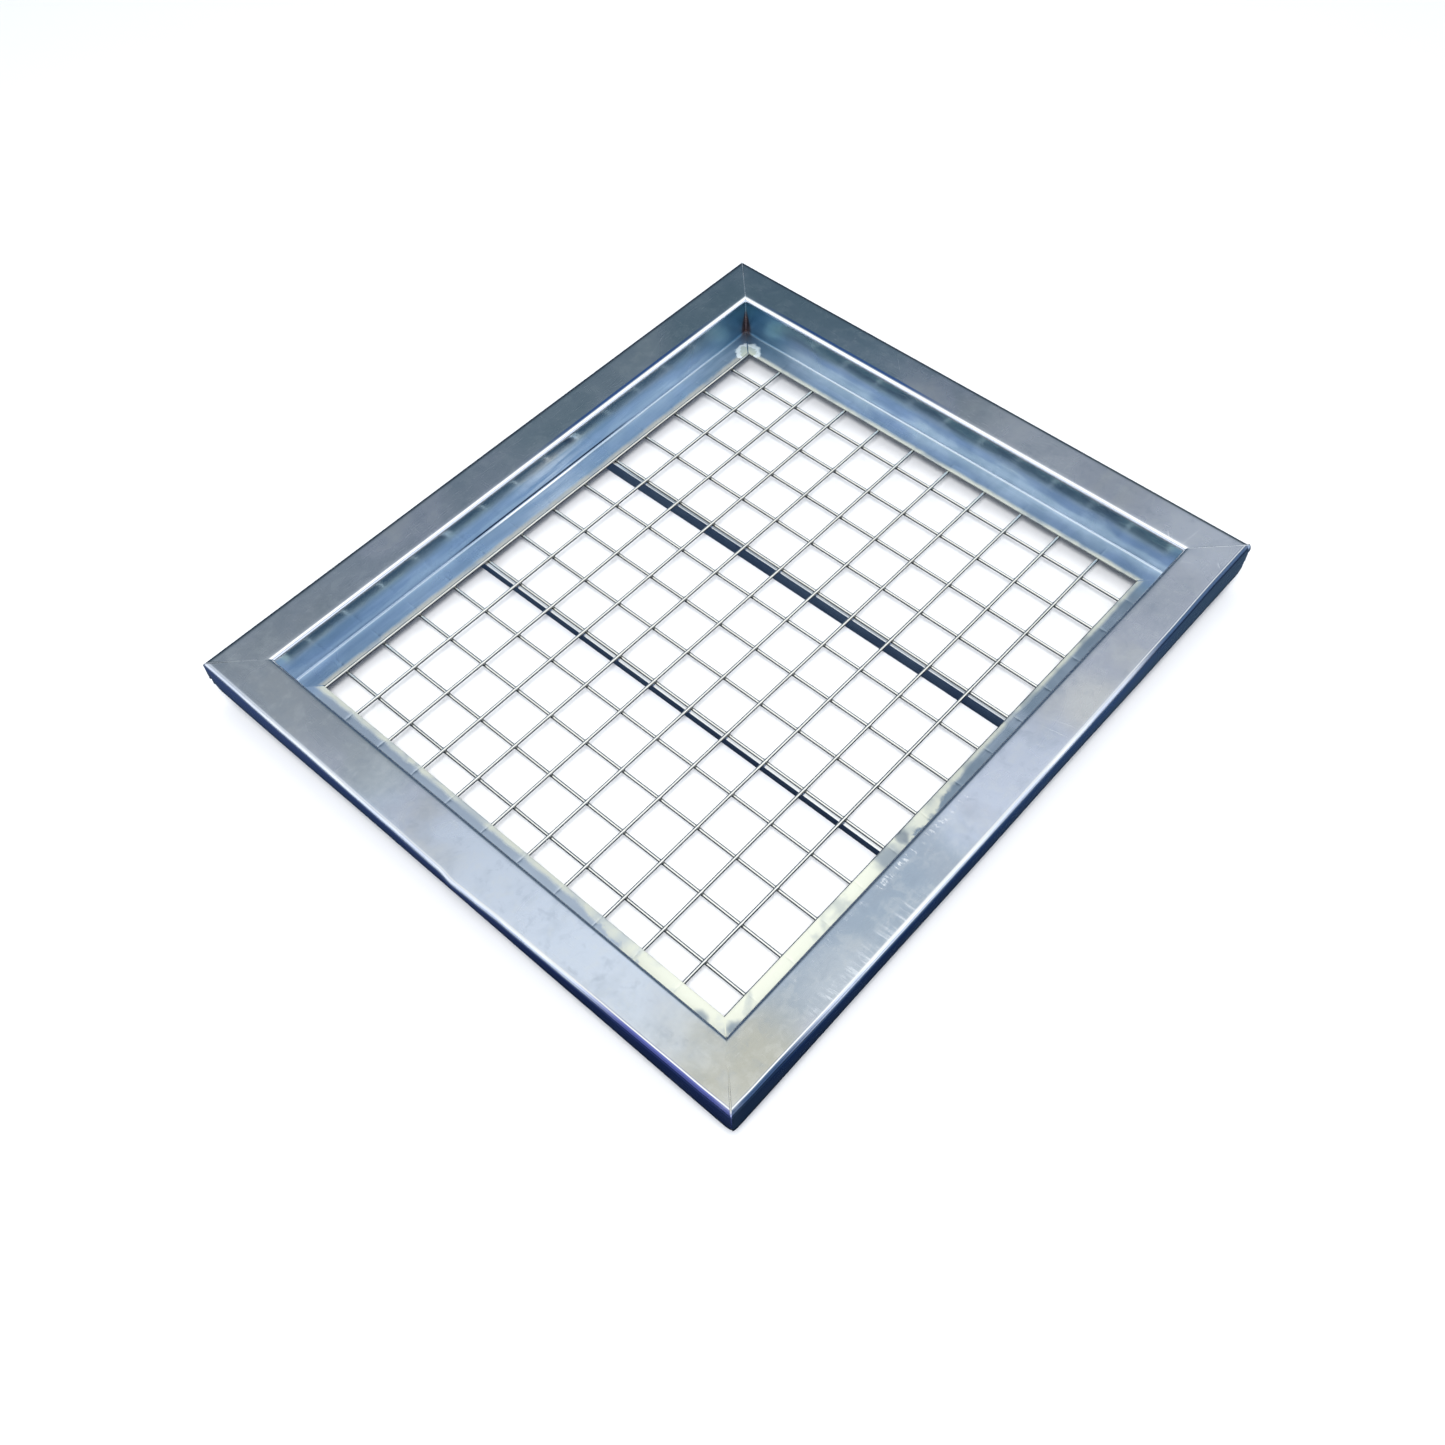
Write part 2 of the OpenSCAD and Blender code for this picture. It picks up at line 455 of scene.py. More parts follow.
def add_seam(bm, girth_layer, index, show):
    """The weld that fills the mitre; its ground crown stands out as far as it still shows."""
    corner, along, across = corner_frame(index)
    fold = fold_out(SIDES[index][0], 0.5)
    lowest = LIP_BOTTOM + LIP_CORNER_R + 0.5 * MM
    offsets = [(c / (SEAM_COLUMNS - 1) - 0.5) * 2 * SEAM_TRIM for c in range(SEAM_COLUMNS)]

    def add_vert(u, z, offset, girth):
        """offset runs across the mitre, from one rail's trimmed end to the other's."""
        u -= fold * smooth(FOLD_REACH, BEND_OUT, u)
        a = u + max(offset, 0.0)
        b = u + max(-offset, 0.0)
        vert = bm.verts.new(corner + along * a + across * b + Vector((0, 0, z)))
        vert[girth_layer] = girth
        return vert

    rings = []
    for u, z, nu, nz, girth in SKIN:
        if u < TINY and z < lowest:
            continue
        ring = []
        for c, offset in enumerate(offsets):
            crown = 1 - (2 * c / (SEAM_COLUMNS - 1) - 1) ** 2
            rise = crown * show * (0.12 + 0.10 * wave(girth, c * 0.01, index, 0.004)) * MM
            ring.append(add_vert(u + nu * rise, z + nz * rise, offset, girth))
        for offset in reversed(offsets):
            ring.append(add_vert(u - nu * SHEET_T, z - nz * SHEET_T, offset, girth + UNDER))
        rings.append(ring)
    for a, b in zip(rings, rings[1:]):
        for i in range(len(a)):
            j = (i + 1) % len(a)
            face = (a[i], a[j], b[j], b[i])
            if i % SEAM_COLUMNS == SEAM_COLUMNS - 1:
                cap(bm, face)
            else:
                bm.faces.new(face)
    cap(bm, rings[0][::-1])
    cap(bm, rings[-1])


def add_tray_bead(bm, girth_layer, index):
    """The rippled bead in the upright corner of the tray."""
    corner, along, across = corner_frame(index)
    levels = 46
    low = LEDGE_TOP + 2.6 * MM
    high = BEND_Z + 0.6 * MM
    base = FLANGE_W - 0.05 * MM
    behind = base - 0.3 * MM
    rings = []
    for level in range(levels + 1):
        t = level / levels
        z = low + (high - low) * t
        leg = (1.3 - 0.5 * t + 0.10 * math.sin(z / (0.42 * MM))) * MM
        fullness = 0.42 + 0.12 * wave(z, index, 0, 0.003)
        ring = []
        for step in range(7):
            angle = math.pi / 2 * step / 6
            a = leg * (1 - math.sin(angle)) * (1 - fullness) + fullness * leg * (1 - step / 6)
            b = leg * (1 - math.cos(angle)) * (1 - fullness) + fullness * leg * step / 6
            ring.append(corner + along * (base + a) + across * (base + b) + Vector((0, 0, z)))
        ring.append(corner + along * behind + across * behind + Vector((0, 0, z)))
        rings.append(ring)
    made = loft(bm, rings)
    bm.faces.new(made[0])
    bm.faces.new(made[-1][::-1])
    for ring in made:
        for vert in ring:
            vert[girth_layer] = WALL_START + BEND_Z - vert.co.z


def add_lip_lump(bm, girth_layer, index, size):
    """The lump of weld where the outer bends and the lips meet."""
    corner, along, across = corner_frame(index)
    centre = corner + (along + across) * 1.6 * MM + Vector((0, 0, FLANGE_TOP - 4.6 * MM))
    for vert in add_blob(bm, centre, (size, size, 1.7 * size), 0.16, (index, 0, 0), 0.7, detail=3):
        # The lump takes the lip's colour, painted dark reflection included
        vert[girth_layer] = LIP_END / 2


def make_corner_weld(index, lump, show, material):
    """The seam in the mitre, the bead in the tray corner and the lump at the lip's corner."""
    name, _, run, _ = SIDES[index]
    bm = bmesh.new()
    layers = [bm.verts.layers.float.new(n) for n in ("along", "girth", "show")]
    along_layer, girth_layer, show_layer = layers
    add_seam(bm, girth_layer, index, show)
    add_tray_bead(bm, girth_layer, index)
    add_lip_lump(bm, girth_layer, index, lump * MM)
    for vert in bm.verts:
        vert[along_layer] = index + run / 2
        vert[show_layer] = show
    bmesh.ops.recalc_face_normals(bm, faces=bm.faces)
    node = f"corner_weld_{name}_{SIDES[(index + 1) % 4][0]}"
    make_piece(node + "_bead", bm, node, material)


# ---- wires


def make_wire(node, axis, crossings, material):
    """A round wire along X (axis 0) or Y (axis 1), slightly uneven, swollen where it is welded."""
    low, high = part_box(node)
    centre = (low + high) / 2
    radius = (high.z - low.z) / 2
    start, end = low[axis], high[axis]
    seed = centre[1 - axis] * 40
    steps = 90
    places = {round(start + (end - start) * i / steps, 5) for i in range(steps + 1)}
    for c in crossings:
        for step in range(-4, 5):
            place = c + step * 0.6 * MM
            if start < place < end:
                places.add(round(place, 5))
    places = sorted(places)
    sides = 20
    side_dir = Vector((0, 1, 0)) if axis == 0 else Vector((1, 0, 0))
    angles = [2 * math.pi * k / sides for k in range(sides)]
    rings = []
    for s in places:
        from_end = min(s - start, end - s)
        tip = 1 - 0.18 * smooth(0.5 * MM, 0, from_end)
        near = min(abs(s - c) for c in crossings)
        swell = 1 + 0.17 * math.exp(-((near / (1.3 * MM)) ** 2))
        drift = 0.22 * MM * wave(s, seed, 0, 0.09)
        lift = 0.05 * MM * wave(s, seed, 9, 0.05)
        ring = []
        for angle in angles:
            across = math.cos(angle) * radius * swell * tip + drift
            up = math.sin(angle) * radius * tip + lift
            p = Vector((0, 0, centre.z + up)) + side_dir * (centre[1 - axis] + across)
            p[axis] = s
            ring.append(p)
        rings.append(ring)
    # crown is the height round the wire, which places its painted highlight and shade
    bm = drawn_length(rings, "crown", [math.sin(angle) for angle in angles])
    bmesh.ops.recalc_face_normals(bm, faces=bm.faces)
    make_piece(node + "_drawn", bm, node, material)


# ---- cross bars


def make_bar(node, material):
    """A flat strip on edge with rolled edges, tacked to each long wire but the outermost two; it leans
    as the CAD bar does.
    """
    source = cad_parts[node].data
    low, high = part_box(node)
    # Corners of the leaning section, from the CAD solid itself
    corners = {(round(v.co.x, 6), round(v.co.z, 6)) for v in source.vertices}
    corners = sorted(corners, key=lambda corner: corner[1])
    foot = (Vector(corners[0]) + Vector(corners[1])) / 2
    head = (Vector(corners[-1]) + Vector(corners[-2])) / 2
    up = (head - foot).normalized()
    side = Vector((up.y, -up.x))
    height = (head - foot).length
    half = abs((Vector(corners[-1]) - Vector(corners[-2])).length) / 2
    edge = 0.45 * MM
    outline = []
    for cx, cz, start in ((half, height, 0), (-half, height, 90), (-half, 0, 180), (half, 0, 270)):
        for step in range(4):
            angle = math.radians(start + 90 * step / 3)
            ox = cx - math.copysign(edge, cx) + edge * math.cos(angle)
            oz = cz - (edge if cz > 0 else -edge) + edge * math.sin(angle)
            outline.append((ox, oz))
    steps = 150
    rings = []
    for i in range(steps + 1):
        y = low.y + (high.y - low.y) * i / steps
        bow = 0.10 * MM * wave(y, foot.x * 30, 0, 0.12)
        rings.append([
            Vector((foot.x + side.x * ox + up.x * oz + bow, y, foot.y + side.y * ox + up.y * oz))
            for ox, oz in outline
        ])
    # Points along the top edge, which get a painted highlight
    bm = drawn_length(rings, "lit_top_edge", [float(oz > height - edge / 2) for _, oz in outline])
    for y in LONG_WIRE_Y[1:-1]:
        for flank in (-1, 1):
            centre = Vector((head.x, y + flank * 1.35 * MM, head.y - 0.1 * MM))
            size = (0.9 * half, 0.9 * MM, 0.8 * MM)
            add_blob(bm, centre, size, 0.2, (centre.y, 0, centre.x), 0.9)
    bmesh.ops.recalc_face_normals(bm, faces=bm.faces)
    make_piece(node + "_strip", bm, node, material)


def make_end_welds(material):
    """Beads that tie the ends of the bars to the ledge, one at each end of each bar."""
    low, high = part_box("bar_end_welds")
    bm = bmesh.new()
    beads = 9
    for bar, inset in (("left_bar", 1.6 * MM), ("right_bar", 1.2 * MM)):
        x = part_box(bar)[0].x + inset
        for end in (-1, 1):
            y = end * (high.y - 5 * MM)
            for i in range(beads):
                place = y + (i - (beads - 1) / 2) * 1.1 * MM
                width = 1.7 * MM * (1.0 + 0.15 * wave(i, x * 50, end, 0.6))
                centre = Vector((x, place, (low.z + high.z) / 2))
                add_blob(bm, centre, (width, 0.9 * MM, (high.z - low.z) * 0.48))
    make_piece("bar_end_beads", bm, "bar_end_welds", material)


# ---- material helpers


class Nodes:
    """Short calls for building a node tree."""

    def __init__(self, tree):
        self.tree = tree
        tree.nodes.clear()

    def add(self, kind, **settings):
        made = self.tree.nodes.new(kind)
        for key, value in settings.items():
            setattr(made, key, value)
        return made

    def link(self, a, b):
        self.tree.links.new(a, b)

    def feed(self, socket, value):
        if isinstance(value, bpy.types.NodeSocket):
            self.link(value, socket)
        else:
            socket.default_value = value

    def math(self, operation, a, b, clamp=False):
        made = self.add("ShaderNodeMath", operation=operation, use_clamp=clamp)
        self.feed(made.inputs[0], a)
        self.feed(made.inputs[1], b)
        return made.outputs[0]

    def plus(self, a, b, clamp=False):
        return self.math("ADD", a, b, clamp)

    def minus(self, a, b, clamp=False):
        return self.math("SUBTRACT", a, b, clamp)

    def times(self, a, b, clamp=False):
        return self.math("MULTIPLY", a, b, clamp)

    def over(self, a, b, clamp=False):
        return self.math("DIVIDE", a, b, clamp)

    def highest(self, a, b):
        return self.math("MAXIMUM", a, b)

    def span(self, value, low, high, out_low=0.0, out_high=1.0):
        """Maps low..high onto out_low..out_high with soft ends."""
        made = self.add("ShaderNodeMapRange", interpolation_type="SMOOTHSTEP")
        self.feed(made.inputs["Value"], value)
        made.inputs["From Min"].default_value = low
        made.inputs["From Max"].default_value = high
        made.inputs["To Min"].default_value = out_low
        made.inputs["To Max"].default_value = out_high
        return made.outputs[0]

    def window(self, value, low, high, soft):
        """1 between low and high, fading to 0 over soft at both ends."""
        return self.times(self.span(value, low, low + soft), self.span(value, high, high - soft))

    def mix(self, factor, a, b):
        made = self.add("ShaderNodeMix", data_type="RGBA")
        self.feed(made.inputs[0], factor)
        self.feed(made.inputs[6], a)
        self.feed(made.inputs[7], b)
        return made.outputs[2]

    def ramp(self, value, stops, smooth_ramp=True):
        made = self.add("ShaderNodeValToRGB")
        ramp = made.color_ramp
        ramp.interpolation = "EASE" if smooth_ramp else "LINEAR"
        while len(ramp.elements) < len(stops):
            ramp.elements.new(0.5)
        for element, (place, colour) in zip(ramp.elements, stops):
            element.position = place
            element.color = colour
        self.feed(made.inputs[0], value)
        return made.outputs[0]

    def noise(self, vector, scale, detail=3.0, roughness=0.5, distortion=0.0):
        made = self.add("ShaderNodeTexNoise")
        self.feed(made.inputs["Vector"], vector)
        made.inputs["Scale"].default_value = scale
        made.inputs["Detail"].default_value = detail
        made.inputs["Roughness"].default_value = roughness
        made.inputs["Distortion"].default_value = distortion
        return made.outputs["Fac"]

    def attribute(self, name):
        return self.add("ShaderNodeAttribute", attribute_name=name).outputs["Fac"]

    def vector_math(self, operation, a, b):
        made = self.add("ShaderNodeVectorMath", operation=operation)
        self.feed(made.inputs[0], a)
        self.feed(made.inputs[1], b)
        return made.outputs["Value" if operation in ("DOT_PRODUCT", "DISTANCE") else "Vector"]

    def distance(self, vector, point):
        return self.vector_math("DISTANCE", vector, point)

    def vector(self, x, y):
        made = self.add("ShaderNodeCombineXYZ")
        self.feed(made.inputs[0], x)
        self.feed(made.inputs[1], y)
        return made.outputs[0]

    def stretched(self, vector, scale, turn=0.0):
        made = self.add("ShaderNodeMapping")
        self.link(vector, made.inputs["Vector"])
        made.inputs["Scale"].default_value = scale
        made.inputs["Rotation"].default_value = (0, 0, turn)
        return made.outputs[0]

    def bump(self, height, strength, distance, normal=None):
        made = self.add("ShaderNodeBump")
        made.inputs["Strength"].default_value = strength
        made.inputs["Distance"].default_value = distance
        self.link(height, made.inputs["Height"])
        if normal is not None:
            self.link(normal, made.inputs["Normal"])
        return made.outputs[0]


def make_material(name, look):
    """A material whose shader sockets take what look(nodes, place) returns for them by name."""
    material = bpy.data.materials.new(name)
    material.use_nodes = True
    nodes = Nodes(material.node_tree)
    shader = nodes.add("ShaderNodeBsdfPrincipled")
    output = nodes.add("ShaderNodeOutputMaterial")
    nodes.link(shader.outputs[0], output.inputs[0])
    place = nodes.add("ShaderNodeTexCoord").outputs["Object"]
    for socket, value in look(nodes, place).items():
        nodes.feed(shader.inputs[socket], value)
    return material


def rgb(r, g, b):
    return (r, g, b, 1.0)


# ---- materials

# Broad patches of tone on the flange: centre x and y and radius in mm, colour, strength
FLANGE_PATCHES = [
    (-287, -247, 66, rgb(0.58, 0.58, 0.50), 0.90),
    (-150, -240, 105, rgb(0.42, 0.51, 0.61), 0.85),
    (-190, -262, 36, rgb(0.70, 0.75, 0.80), 0.50),
    (15, -250, 82, rgb(0.74, 0.79, 0.90), 0.90),
    (98, -262, 44, rgb(0.86, 0.84, 0.78), 0.70),
    (225, -250, 80, rgb(0.60, 0.62, 0.68), 0.60),
    (-290, -60, 170, rgb(0.80, 0.87, 0.97), 0.90),
    (-275, 100, 40, rgb(0.62, 0.66, 0.64), 0.55),
    (-285, 200, 115, rgb(0.50, 0.53, 0.55), 0.80),
    (295, -25, 36, rgb(0.70, 0.69, 0.67), 0.60),
    (290, -235, 75, rgb(0.80, 0.82, 0.88), 0.85),
    (290, -75, 75, rgb(0.80, 0.80, 0.83), 0.75),
    (290, 165, 165, rgb(0.36, 0.47, 0.53), 0.85),
    (150, 250, 190, rgb(0.48, 0.56, 0.58), 0.70),
]
# Grey marks on the ledge, in the same terms: two on the chalk of the near corner, then the heat marks
# where the bars end under the front ledge
LEDGE_SPOTS = [
    (-252, -221, 9, rgb(0.30, 0.37, 0.44), 0.85),
    (-263, -196, 9, rgb(0.34, 0.41, 0.47), 0.85),
    (-82, -218, 20, rgb(0.36, 0.42, 0.47), 0.90),
    (-64, -213, 7, rgb(0.30, 0.35, 0.40), 0.80),
    (75, -216, 13, rgb(0.46, 0.53, 0.62), 0.60),
]
# Straight scratches on the flange: both ends x, y in mm, width in mm, strength
SCRATCHES = [
    (262, -225, 301, -229, 0.7, 0.55),
    (266, -220, 280, -209, 1.2, 0.50),
    (271, -262, 275, -257, 1.3, 0.60),
    (257, -233, 262, -243, 1.0, 0.45),
    (262, 226, 271, 218, 1.6, 0.35),
    (57, -238, 62, -264, 0.9, 0.35),
    (66, -240, 73, -264, 0.7, 0.30),
    (-8, -236, 12, -243, 0.8, 0.30),
    (-60, -232, -44, -244, 0.9, 0.35),
    (-270, -30, -262, -12, 0.8, 0.25),
    (150, 240, 190, 254, 0.7, 0.25),
    (282, 60, 300, 78, 0.7, 0.20),
]
HEAT_BROWN = rgb(0.23, 0.145, 0.13)
CHALK = rgb(0.84, 0.85, 0.72)
FAR_X = FRAME_L / 2 - FLANGE_W  # the tray's corner that is furthest from the camera
FAR_Y = FRAME_W / 2 - FLANGE_W
WALL_MIDDLE = LEDGE_TOP + 16 * MM


def soft_patch(nodes, place, clouds, x, y, radius, strength, z=FLANGE_TOP):
    """Soft round patch with a cloudy edge, as a mask; x, y and radius are in mm."""
    radius = radius * MM
    away = nodes.distance(place, (x * MM, y * MM, z))
    away = nodes.plus(away, nodes.times(nodes.minus(clouds, 0.5), radius * 1.4))
    return nodes.span(away, radius, radius * 0.35, 0.0, strength)


def scratch_mark(nodes, place, x0, y0, x1, y1, width, strength):
    """A thin straight line between two points, as a mask that fades at its ends."""
    start = Vector((x0, y0, 0)) * MM
    run = Vector((x1 - x0, y1 - y0, 0)) * MM
    offset = nodes.vector_math("SUBTRACT", place, (start.x, start.y, FLANGE_TOP))
    part = nodes.vector_math("DOT_PRODUCT", offset, tuple(run / run.length_squared))
    part = nodes.plus(part, 0.0, clamp=True)
    foot = nodes.add("ShaderNodeVectorMath", operation="SCALE")
    foot.inputs[0].default_value = tuple(run)
    nodes.link(part, foot.inputs["Scale"])
    gap = nodes.distance(offset, foot.outputs[0])
    fade = nodes.times(nodes.span(part, 0.0, 0.3), nodes.span(part, 1.0, 0.8, 0.0, strength))
    return nodes.times(nodes.span(gap, width * MM / 2, 0.0), fade)


class Skin(Nodes):
    """Nodes with outputs that say where a point is on the folded sheet, and the noises that its tone
    follows."""

    def __init__(self, nodes, place):
        self.tree = nodes.tree
        self.place = place
        self.girth = self.attribute("girth")
        self.along = self.attribute("along")
        self.clouds = self.noise(place, 9.0, 4.0, 0.55, 0.6)
        self.blotches = self.noise(place, 38.0, 3.0, 0.6, 0.3)
        self.on_far = self.window(self.along, 0.5, 2.5, 0.01)
        self.on_back = self.window(self.along, 1.5, 2.5, 0.01)
        self.on_left = self.math("GREATER_THAN", self.along, 2.5)


def flange_colour(skin):
    """Cloudy grey with broad patches of tone, wiped streaks and a fine mottle."""
    tone = skin.ramp(skin.clouds, [
        (0.30, rgb(0.53, 0.58, 0.63)),
        (0.45, rgb(0.58, 0.61, 0.66)),
        (0.55, rgb(0.61, 0.63, 0.70)),
        (0.70, rgb(0.67, 0.68, 0.69)),
    ])
    for x, y, radius, colour, strength in FLANGE_PATCHES:
        tone = skin.mix(soft_patch(skin, skin.place, skin.clouds, x, y, radius, strength), tone, colour)
    tone = skin.mix(skin.span(skin.wiped, 0.42, 0.68, 0.0, 0.12), tone, rgb(0.76, 0.79, 0.84))
    tone = skin.mix(skin.span(skin.blotches, 0.52, 0.28, 0.0, 0.26), tone, rgb(0.42, 0.48, 0.55))
    mottle = skin.noise(skin.place, 85.0, 4.0, 0.65, 0.4)
    tone = skin.mix(skin.span(mottle, 0.48, 0.68, 0.0, 0.22), tone, rgb(0.86, 0.88, 0.86))
    return skin.mix(skin.span(mottle, 0.46, 0.30, 0.0, 0.20), tone, rgb(0.36, 0.42, 0.50))


def wall_colour(skin, slate):
    """A blue tint with painted reflection: teal under the bend and light blue lower down, with an uneven
    edge between them; a pale cloud on the back wall, and painted shade in the far corner."""
    uneven = skin.minus(skin.plus(skin.clouds, skin.times(skin.wiped, 0.4)), 0.7)
    depth = skin.plus(skin.girth, skin.times(uneven, 45 * MM))
    part = skin.over(skin.minus(depth, WALL_START), WALL_END - WALL_START, clamp=True)
    # Painted reflection down the wall: teal and a darker band under the bend, light blue towards the
    # foot
    tone = skin.ramp(part, [
        (0.12, rgb(0.50, 0.69, 0.77)),
        (0.36, rgb(0.33, 0.45, 0.57)),
        (0.62, rgb(0.44, 0.56, 0.74)),
        (0.95, rgb(0.84, 0.94, 1.00)),
    ])
    tone = skin.mix(skin.times(skin.on_back, 0.6), tone, slate)
    pale = skin.span(skin.distance(skin.place, (20 * MM, FAR_Y, WALL_MIDDLE)), 55 * MM, 8 * MM)
    pale = skin.times(pale, skin.span(skin.wiped, 0.40, 0.58))
    tone = skin.mix(skin.times(pale, 0.8), tone, rgb(0.86, 0.88, 0.90))
    # Painted shade in the tray's far corner
    corner_shade = skin.distance(skin.place, (FAR_X, FAR_Y, WALL_MIDDLE))
    corner_shade = skin.plus(corner_shade, skin.times(skin.minus(skin.clouds, 0.5), 50 * MM))
    return skin.mix(skin.span(corner_shade, 75 * MM, 30 * MM, 0.0, 0.85), tone, rgb(0.19, 0.36, 0.46))


def ledge_colour(skin, slate):
    """Slate blue, paler along the left rail."""
    blotchy = skin.span(skin.blotches, 0.35, 0.70)
    tone = skin.mix(blotchy, rgb(0.29, 0.37, 0.45), rgb(0.37, 0.45, 0.54))
    tone = skin.mix(skin.on_left, tone, rgb(0.52, 0.60, 0.70))
    tone = skin.mix(skin.times(skin.on_back, 0.5), tone, slate)
    return skin.mix(skin.span(skin.wiped, 0.50, 0.70, 0.0, 0.30), tone, rgb(0.62, 0.71, 0.82))


def lip_colour(skin):
    """A blue plating tint deepened with painted dark reflection: blue under the fold (violet on the
    left), slate lower down and at the front rail's ends, and painted shade almost black along the lower
    edge."""
    # The deep blues are partly the tint and partly painted reflection of the dark below the horizon
    blue = skin.mix(skin.on_left, rgb(0.22, 0.42, 0.88), rgb(0.30, 0.33, 0.90))
    blue = skin.mix(skin.span(skin.clouds, 0.35, 0.65, 0.0, 0.35), blue, rgb(0.36, 0.46, 0.66))
    blue = skin.mix(skin.on_far, blue, rgb(0.34, 0.43, 0.62))
    low = skin.mix(skin.on_left, rgb(0.36, 0.44, 0.60), rgb(0.22, 0.25, 0.58))
    tone = skin.mix(skin.span(skin.girth, 6 * MM, 24 * MM), low, blue)
    ends = skin.highest(skin.span(skin.along, 0.10, 0.25), skin.span(skin.along, -0.24, -0.30))
    ends = skin.times(ends, skin.math("LESS_THAN", skin.along, 0.5))
    tone = skin.mix(ends, tone, rgb(0.21, 0.32, 0.48))
    # Painted shade along the lip's lower edge
    return skin.mix(skin.span(skin.girth, 6 * MM, 1.5 * MM), tone, rgb(0.10, 0.12, 0.18))


def zone_colours(skin):
    """Base colour by place on the section: lip, flange, tray wall and ledge; the lip and the tray wall
    carry painted reflection and shade.
    """
    slate = skin.span(skin.wiped, 0.40, 0.65)
    slate = skin.mix(slate, rgb(0.37, 0.49, 0.62), rgb(0.50, 0.61, 0.73))
    zones = [
        (LIP_END, FLANGE_START, flange_colour(skin)),
        (FLANGE_END + 1 * MM, WALL_START + 1 * MM, wall_colour(skin, slate)),
        (WALL_END, LEDGE_START, ledge_colour(skin, slate)),
    ]
    colour = lip_colour(skin)
    for start, end, zone in zones:
        colour = skin.mix(skin.span(skin.girth, start, end), colour, zone)
    return colour


def painted_bend_highlights(skin, colour):
    """Painted highlights on the bends, and painted dark reflection towards the ends of the near outer
    folds.
    """
    # Painted highlight, pale and streaked, on the outer fold along the middle of the near sides
    highlight_streaks = skin.span(skin.wiped, 0.40, 0.60)
    highlight_streaks = skin.mix(highlight_streaks, rgb(0.62, 0.68, 0.80), rgb(0.84, 0.88, 0.94))
    stands_out = skin.highest(
        skin.window(skin.along, -0.27, 0.19, 0.08), skin.window(skin.along, 2.68, 3.18, 0.06)
    )
    # Painted dark reflection on the outer fold towards the near sides' ends; plain grey on the far sides
    ends = skin.mix(skin.on_left, rgb(0.07, 0.12, 0.22), rgb(0.11, 0.13, 0.36))
    tone = skin.mix(stands_out, ends, highlight_streaks)
    tone = skin.mix(skin.on_far, tone, rgb(0.30, 0.33, 0.35))
    outer = skin.window(skin.girth, LIP_END + 0.2 * MM, FLANGE_START + 1 * MM, 1.4 * MM)
    colour = skin.mix(outer, colour, tone)
    # Painted white highlight all round the tray's bend and along the top of the near sides' outer fold
    inner = skin.window(skin.girth, FLANGE_END - 0.2 * MM, WALL_START + 0.2 * MM, 1.2 * MM)
    rim = skin.window(skin.girth, FLANGE_START - 1.2 * MM, FLANGE_START + 0.4 * MM, 0.6 * MM)
    rim = skin.times(rim, skin.minus(1.0, skin.on_far))
    return skin.mix(skin.highest(rim, inner), colour, rgb(0.94, 0.96, 0.98))


def painted_crease_lines(skin, colour):
    """Painted shade and highlight of a crease in the middle of the back rail's foot: a dark line over a
    bright one.
    """
    dark = skin.window(skin.girth, WALL_END - 1.8 * MM, WALL_END + 1 * MM, 0.8 * MM)
    dark = skin.times(skin.window(skin.along, 1.87, 2.11, 0.05), dark)
    colour = skin.mix(dark, colour, rgb(0.04, 0.07, 0.12))
    bright = skin.window(skin.girth, WALL_END + 1 * MM, LEDGE_START, 0.5 * MM)
    bright = skin.times(skin.window(skin.along, 1.93, 2.07, 0.04), bright)
    return skin.mix(bright, colour, rgb(0.96, 0.98, 1.0))


def painted_blue_reflection(skin, colour):
    """A line of painted blue reflection where the tray's bend starts, on the halves of the right and
    back rails that meet in the far corner."""
    blue_reflection_mask = skin.highest(
        skin.window(skin.along, 0.98, 1.235, 0.08), skin.window(skin.along, 1.74, 2.02, 0.10)
    )
    line = skin.window(skin.girth, FLANGE_END - 3.2 * MM, FLANGE_END + 0.6 * MM, 1.2 * MM)
    return skin.mix(skin.times(blue_reflection_mask, skin.times(line, 0.9)), colour, rgb(0.07, 0.20, 0.56))


def chalk_mask(skin):
    """Chalk along the ledge's edge, spreading over the ledge with a frayed border where it is chalky."""
    frayed = skin.noise(skin.place, 75.0, 5.0, 0.68)
    frayed = skin.times(skin.minus(frayed, 0.5), 24 * MM)
    frayed = skin.times(frayed, skin.span(skin.chalk, 0.0, 0.30, 0.10, 1.0))
    reach = skin.plus(skin.times(skin.chalk, 14 * MM), frayed)
    start = skin.minus(LEDGE_END - 4.4 * MM, reach)
    edge = skin.over(skin.minus(skin.girth, start), 3 * MM, clamp=True)
    broken = skin.span(skin.blotches, 0.30, 0.55, 0.45, 0.95)
    broken = skin.plus(broken, skin.times(skin.chalk, 0.2))
    above = skin.math("LESS_THAN", skin.girth, UNDER - 0.05)
    return skin.times(skin.times(edge, broken), above, clamp=True)


def chalked_ledge(skin, colour, chalky):
    """Paints the chalk and the grey marks on it; returns what is left of the chalk too."""
    tone = skin.mix(skin.chalk, rgb(0.60, 0.62, 0.54), CHALK)
    tone = skin.mix(skin.on_back, tone, rgb(0.42, 0.43, 0.39))
    colour = skin.mix(chalky, colour, tone)
    on_ledge = skin.math("GREATER_THAN", skin.girth, LEDGE_START)
    spots = 0.0
    for x, y, radius, grey, strength in LEDGE_SPOTS:
        spot = soft_patch(skin, skin.place, skin.blotches, x, y, radius, strength, LEDGE_TOP)
        spot = skin.times(spot, on_ledge)
        colour = skin.mix(spot, colour, grey)
        spots = skin.highest(spots, spot)
    return colour, skin.minus(chalky, skin.times(spots, 0.7), clamp=True)


